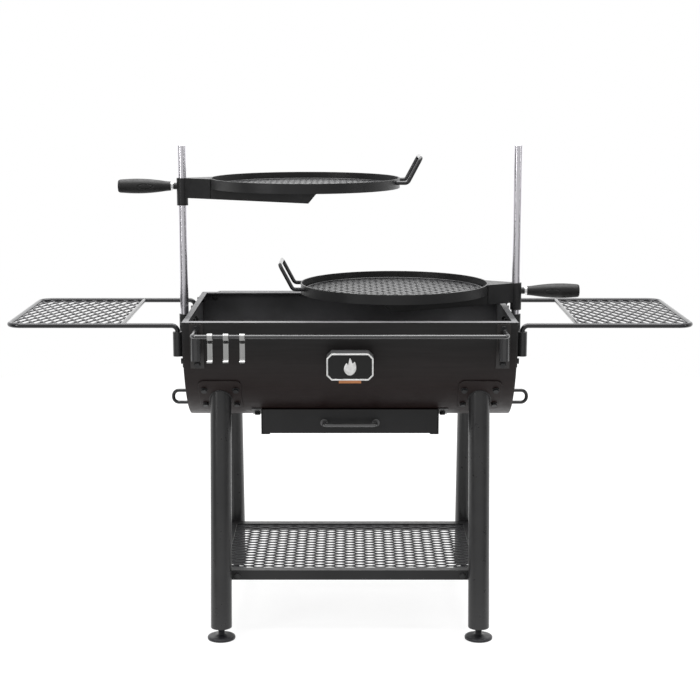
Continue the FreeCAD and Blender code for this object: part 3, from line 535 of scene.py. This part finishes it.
# both outlines are in mm: sideways and up for a bar, outwards and up for the rim
BAR_TOP = ((-4.3, -0.4), (-4.2, 1.9), (-3.9, 2.5), (-3.2, 2.85), (-1.6, 2.95),
           (1.6, 2.95), (3.2, 2.85), (3.9, 2.5), (4.2, 1.9), (4.3, -0.4))
RIM_PROFILE = ((-6.0, 0), (-6.0, 5.0), (-5.4, 5.7), (-4.4, 6.0), (-1.4, 6.0), (-0.5, 5.6), (0, 4.8), (0, 0))


def bar_section(foot, aside, drop):
    """Outline of a bar across its length: rounded top, upright sides and a flat underside."""
    section = [foot + aside * a * MM + UP * (b * MM + BAR_LIFT - drop) for a, b in BAR_TOP]
    half = BAR_TOP[-1][0] * MM
    return section + [foot + aside * half + UP * drop, foot - aside * half + UP * drop]


def round_grate(side):
    """Crossed cast bars with rounded tops, inside a slightly taller rim."""
    node = f"{side}_grate"
    low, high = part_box(node)
    centre = (low + high) / 2
    radius = (high.x - low.x) / 2
    base = Vector((centre.x, centre.y, low.z))
    shape = Shape()
    rings = []
    for t in turns(GRATE_SEGMENTS):
        out = Vector((math.cos(t), math.sin(t), 0))
        rings.append([base + out * (radius + r * MM) + UP * z * MM for r, z in RIM_PROFILE])
    shape.loft(rings, closed=True)
    inner = radius - GRATE_INSET
    count = int(inner / GRATE_STEP)
    for turn, drop in ((1, 0), (-1, CROSSING_DROP)):
        along = Vector((1, turn, 0)).normalized()
        aside = Vector((-along.y, along.x, 0))
        for i in range(-count, count + 1):
            off = i * GRATE_STEP
            reach = math.sqrt(inner**2 - off**2)
            ends = [bar_section(base + aside * off + along * end, aside, drop) for end in (reach, -reach)]
            shape.loft(ends)
    make_piece(f"{side}_grate_bars", shape, "grate_enamel", node, [node])


# ---------------------------------------------------------------- grips
GRIP_RINGS = 190
GRIP_SIDES = 150
# shares of the grip's length, and of its largest radius
GRIP_SHAPE = ((0.0, 0.60), (0.02, 0.625), (0.10, 0.68), (0.22, 0.80), (0.36, 0.91), (0.52, 0.985),
              (0.68, 1.0), (0.82, 0.965), (0.91, 0.92), (0.955, 0.895), (0.985, 0.83), (0.997, 0.72),
              (1.0, 0.55))
OVAL = (0.475, 0.135, 0.36)  # place along the grip, half length, half angle in radians
OVAL_EDGE = 0.16  # width of the groove, as a share of the oval
OVAL_DEEP = 1.3 * MM


def smooth_profile(points, count):
    """A smooth curve through (distance, radius) pairs, read at count + 1 equal steps."""
    last = len(points) - 1
    out = []
    for k in range(count + 1):
        s = k / count
        i = min(max(j for j, (x, _) in enumerate(points) if x <= s), last - 1)
        t = (s - points[i][0]) / (points[i + 1][0] - points[i][0])
        radii = [points[min(max(j, 0), last)][1] for j in range(i - 1, i + 3)]
        out.append((s, catmull_rom(*radii, t)))
    return out


def grip(side, sign):
    """Waisted handle with a plain oval dent on the cook's side and a rounded end with a flat cap."""
    node = f"{side}_grip"
    low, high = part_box(node)
    centre = (low + high) / 2
    length = high.x - low.x
    top_r = (high.z - low.z) / 2
    start = Vector((low.x if sign > 0 else high.x, centre.y, centre.z))
    axis = Vector((sign, 0, 0))
    sections = []
    for s, r in smooth_profile(GRIP_SHAPE, GRIP_RINGS):
        ring = []
        for t in turns(GRIP_SIDES):
            out = Vector((0, math.cos(t), math.sin(t)))
            dent = oval_groove(s, math.atan2(out.z, -out.y))
            ring.append(start + axis * s * length + out * (r * top_r - dent))
        sections.append(ring if sign > 0 else ring[::-1])
    shape = Shape()
    shape.loft(sections)
    make_piece(f"{side}_grip_handle", shape, "grip_black", node, [node])


def oval_groove(s, angle):
    """How far the surface is sunk: a groove round a plain oval."""
    place, half_long, half_angle = OVAL
    off = abs(math.hypot((s - place) / half_long, angle / half_angle) - 1) / OVAL_EDGE
    return OVAL_DEEP * max(0, 1 - off * off)


# ---------------------------------------------------------------- feet
# height in mm, and share of the disc's radius
FOOT_DISC = ((0, 0.9), (0.4, 0.955), (1.2, 0.99), (2.2, 1), (5.6, 1), (6.9, 0.985), (8.0, 0.95),
             (8.7, 0.9), (9.2, 0.8), (9.6, 0.55), (10.4, 0.42), (11.4, 0.34), (12.4, 0.26))
THREAD_START = 12.0
THREAD_PITCH = 2.0
THREAD = ((0, 7.6), (0.7, 8.45), (1.1, 8.45))  # height and radius in mm, over one turn


def levelling_foot(corner):
    """Turned disc with a soft edge and a threaded stem."""
    node = f"foot_{corner}"
    low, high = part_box(node)
    centre = (low + high) / 2
    radius = (high.x - low.x) / 2
    base = Vector((centre.x, centre.y, low.z))
    shape = Shape()
    shape.lathe(base, UP, [(height * MM, radius * share) for height, share in FOOT_DISC], 72)
    top = (high.z - low.z) / MM
    stem = []
    start = THREAD_START
    while start < top - THREAD_PITCH:
        stem += [((start + along) * MM, r * MM) for along, r in THREAD]
        start += THREAD_PITCH
    stem.append((top * MM, THREAD[0][1] * MM))
    shape.lathe(base, UP, stem, 36)
    make_piece(f"{node}_disc", shape, "foot_black", node, [node])


# ---------------------------------------------------------------- badge
# sideways and up from the badge's middle, in mm
FLAME = ((0, 22), (3.5, 16), (6.5, 9), (11.5, 13), (14.5, 4), (14.8, -6), (11, -14), (5, -19), (0, -20.5),
         (-6, -19), (-12, -13.5), (-14.8, -5), (-12.5, 4), (-8, 9.5), (-5.5, 4), (-3.5, 10), (-2.2, 16.5))
BADGE_CHAMFER = 12 * MM
BORDER = ((0, 0.8), (0.8, 0), (3.0, 0), (3.7, 0.9), (3.7, 2.4))  # inset and depth of its front, in mm
FIELD_INSET = 3.7 * MM
FIELD_DEPTH = 1.9 * MM
RELIEF = ((1.0, 2.2), (1.0, 1.2), (0.93, 0.6), (0.82, 0.35))  # size, and depth in mm
FLAME_STEPS = 6


def outline_loop(inset, y, box):
    """The badge's eight-sided outline, drawn in by inset."""
    low, high = box
    x0, x1 = low.x + inset, high.x - inset
    z0, z1 = low.z + inset, high.z - inset
    c = BADGE_CHAMFER - inset * (2 - math.sqrt(2))
    pairs = ((x0 + c, z0), (x1 - c, z0), (x1, z0 + c), (x1, z1 - c),
             (x1 - c, z1), (x0 + c, z1), (x0, z1 - c), (x0, z0 + c))
    return [Vector((x, y, z)) for x, z in pairs]


def badge():
    """Pale raised border round a dark field, with a plain flame in relief."""
    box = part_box("badge_plate")
    low, high = box
    front, back = low.y, high.y
    border = Shape()
    loops = [outline_loop(inset * MM, front + depth * MM, box) for inset, depth in BORDER]
    border.loft([outline_loop(0, back, box), *loops, outline_loop(FIELD_INSET, back, box)])
    make_piece("badge_border", border, "badge_face", "stand", ["badge_plate"], BADGE_BORDER)
    field = Shape()
    field.loft([outline_loop(FIELD_INSET, y, box) for y in (back - 0.2 * MM, front + FIELD_DEPTH)])
    make_piece("badge_field", field, "badge_face", "stand", material=BADGE_FIELD)
    flame_relief((low + high) / 2, front)


def flame_relief(centre, front):
    """A plain flame that narrows towards the badge's front."""
    points = [Vector((centre.x + x * MM, 0, centre.z + z * MM)) for x, z in FLAME]
    curve = closed_curve(points, FLAME_STEPS)
    middle = sum(curve, Vector()) / len(curve)
    sections = []
    for size, depth in RELIEF:
        y = front + depth * MM
        sections.append([Vector((middle.x + (p.x - middle.x) * size, y, middle.z + (p.z - middle.z) * size))
                         for p in curve])
    shape = Shape()
    shape.loft(sections)
    make_piece("badge_flame", shape, "badge_face", "stand", material=BADGE_BORDER)


def closed_curve(points, steps):
    """A smooth curve round a closed list of points."""
    out = []
    n = len(points)
    for i in range(n):
        near = [points[(i + k) % n] for k in (-1, 0, 1, 2)]
        out += [catmull_rom(*near, k / steps) for k in range(steps)]
    return out


# ---------------------------------------------------------------- weld beads
LEG_LEAN = 84 / 602  # how far a leg spreads for each unit of height
LEG_RADIUS = 26.5 * MM
LEG_END = 31 * MM  # height of the leg's lower end
PLATE = 3 * MM
BEAD_RADIUS = 2.2 * MM
BEAD_POINTS = 90


def bead_radii(rng):
    """A lumpy row of radii along a weld bead."""
    swell = [1 + 0.16 * math.sin(i * 1.9) + rng.uniform(-0.08, 0.08) for i in range(BEAD_POINTS)]
    return [BEAD_RADIUS * size for size in swell]


def first_crossing(start, axis, centre_z, radius):
    """How far along the axis start meets a cylinder that lies along X at the given height."""
    dy, dz = start.y, start.z - centre_z
    b = dy * axis.y + dz * axis.z
    c = dy * dy + dz * dz - radius * radius
    return -b - math.sqrt(b * b - c)


def leg_weld(corner, rng):
    """Bead where the leg meets its rolled plate."""
    foot = middle_of(f"foot_{corner}")
    side = 1 if foot.y > 0 else -1
    barrel_low, barrel_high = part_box("barrel_shell")
    radius = (barrel_high.y - barrel_low.y) / 2 + PLATE
    axis = Vector((0, -side * LEG_LEAN, 1)).normalized()
    base = Vector((foot.x, foot.y, LEG_END))
    u, v = across(axis)
    points = []
    for t in turns(BEAD_POINTS):
        start = base + (u * math.cos(t) + v * math.sin(t)) * (LEG_RADIUS + 0.6 * MM)
        points.append(start + axis * first_crossing(start, axis, barrel_high.z, radius))
    shape = Shape()
    shape.hoop(points, bead_radii(rng), 8)
    make_piece(f"leg_weld_{corner}", shape, "black_coat", "stand")


# ---------------------------------------------------------------- studio
CAMERA_PLACE = (0, -4.088, 1.405)
CAMERA_DIP = 9.87  # degrees below level
LENS = 81.26
LIGHTS = (  # name, place, target, size, watts
    ("overhead", (0, 0.3, 3.4), (0, 0.1, 0), (3.4, 2.8), 150),
    ("left_strip", (-2.6, -2.4, 1.7), (0, 0, 0.7), (0.5, 1.8), 22),
    ("right_strip", (3.0, -1.6, 1.7), (0, 0, 0.7), (0.5, 1.8), 10),
)
HORIZON = ((0.0, 0.78), (0.08, 0.7), (0.22, 0.14), (0.38, 0.2), (0.55, 1.1), (1.0, 1.55))  # front to rear
ZENITH = 1.35
FLOOR_RADIUS = 2.4
FLOOR_SETBACK = 1.45
FLOOR_SIDES = 96


def camera():
    data = bpy.data.cameras.new("camera")
    data.sensor_width = 36
    data.lens = LENS
    shot = bpy.data.objects.new("camera", data)
    shot.location = CAMERA_PLACE
    shot.rotation_euler = (math.radians(90 - CAMERA_DIP), 0, 0)
    bpy.context.scene.collection.objects.link(shot)
    bpy.context.scene.camera = shot


def area_light(name, place, target, size, power):
    data = bpy.data.lights.new(name, "AREA")
    data.shape = "RECTANGLE"
    data.size, data.size_y = size
    data.energy = power
    lamp = bpy.data.objects.new(name, data)
    lamp.location = place
    lamp.rotation_euler = (Vector(target) - Vector(place)).to_track_quat("-Z", "Y").to_euler()
    bpy.context.scene.collection.objects.link(lamp)


def horizon_glow(tree, depth):
    """Light level from front to rear, read off HORIZON."""
    ramp = tree.nodes.new("ShaderNodeValToRGB")
    tree.links.new(depth, ramp.inputs[0])
    stops = ramp.color_ramp.elements
    while len(stops) < len(HORIZON):
        stops.new(0.5)
    brightest = max(level for _, level in HORIZON)
    for stop, (place, level) in zip(stops, HORIZON):
        stop.position = place
        stop.color = (level / brightest,) * 3 + (1,)
    glow = tree.nodes.new("ShaderNodeMath")
    glow.operation = "MULTIPLY"
    glow.inputs[1].default_value = brightest
    tree.links.new(ramp.outputs[0], glow.inputs[0])
    return glow.outputs[0]


def world():
    """White to the eye; as light it is bright overhead and behind, and dim at the front and the sides."""
    sky = bpy.data.worlds.new("studio")
    bpy.context.scene.world = sky
    sky.use_nodes = True
    tree = sky.node_tree
    tree.nodes.clear()
    add = tree.nodes.new
    join = tree.links.new
    where = add("ShaderNodeTexCoord")
    split = add("ShaderNodeSeparateXYZ")
    join(where.outputs["Generated"], split.inputs[0])
    depth = add("ShaderNodeMapRange")
    depth.inputs["From Min"].default_value = -1
    join(split.outputs["Y"], depth.inputs["Value"])
    top = add("ShaderNodeMapRange")
    for name, value in (("From Min", 0.2), ("From Max", 0.8), ("To Max", ZENITH)):
        top.inputs[name].default_value = value
    join(split.outputs["Z"], top.inputs["Value"])
    level = add("ShaderNodeMath")
    level.operation = "MAXIMUM"
    join(horizon_glow(tree, depth.outputs[0]), level.inputs[0])
    join(top.outputs[0], level.inputs[1])
    lit, seen = (add("ShaderNodeBackground") for _ in range(2))
    for background in (lit, seen):
        background.inputs["Color"].default_value = (1, 1, 1, 1)
    join(level.outputs[0], lit.inputs["Strength"])
    path = add("ShaderNodeLightPath")
    choose = add("ShaderNodeMixShader")
    join(path.outputs["Is Camera Ray"], choose.inputs[0])
    join(lit.outputs[0], choose.inputs[1])
    join(seen.outputs[0], choose.inputs[2])
    output = add("ShaderNodeOutputWorld")
    join(choose.outputs[0], output.inputs["Surface"])


def floor():
    """A round pale floor, set back from the cook, bright enough to run into the white round it."""
    centre, radius = FLOOR_SETBACK, FLOOR_RADIUS
    rim = [(radius * math.cos(t), centre + radius * math.sin(t), 0) for t in turns(FLOOR_SIDES)]
    mesh = bpy.data.meshes.new("floor")
    mesh.from_pydata(rim, [], [tuple(range(FLOOR_SIDES))])
    g = Graph("pale_floor")
    where = g.place()
    colour = g.mix(g.remap(g.noise(where, 2, 2), 0, 1), (0.24, 0.24, 0.24), (0.26, 0.26, 0.26))
    g.set(Roughness=0.9, Specular_IOR_Level=0.1, Emission_Strength=0.78)
    g.shader.inputs["Emission Color"].default_value = (1, 1, 1, 1)
    mesh.materials.append(g.finish(colour))
    plane = bpy.data.objects.new("floor", mesh)
    bpy.context.scene.collection.objects.link(plane)


def studio():
    camera()
    world()
    floor()
    for light in LIGHTS:
        area_light(*light)
    bpy.context.scene.view_settings.view_transform = "Standard"


# ---------------------------------------------------------------- the model
def build():
    rng = random.Random(7)
    paint_cad_nodes()
    expanded_sheet("shelf_mesh", "stand", "shelf_expanded_metal", SHELF_DIAMOND, SHELF_STRAND, True)
    for side, sign in SIDES:
        table = f"table_{side}"
        expanded_sheet(f"{table}_mesh", table, f"{table}_expanded_metal", TABLE_DIAMOND, TABLE_STRAND, False)
        round_grate(side)
        grip(side, sign)
    for corner in CORNERS:
        levelling_foot(corner)
        leg_weld(corner, rng)
    badge()


build()
studio()
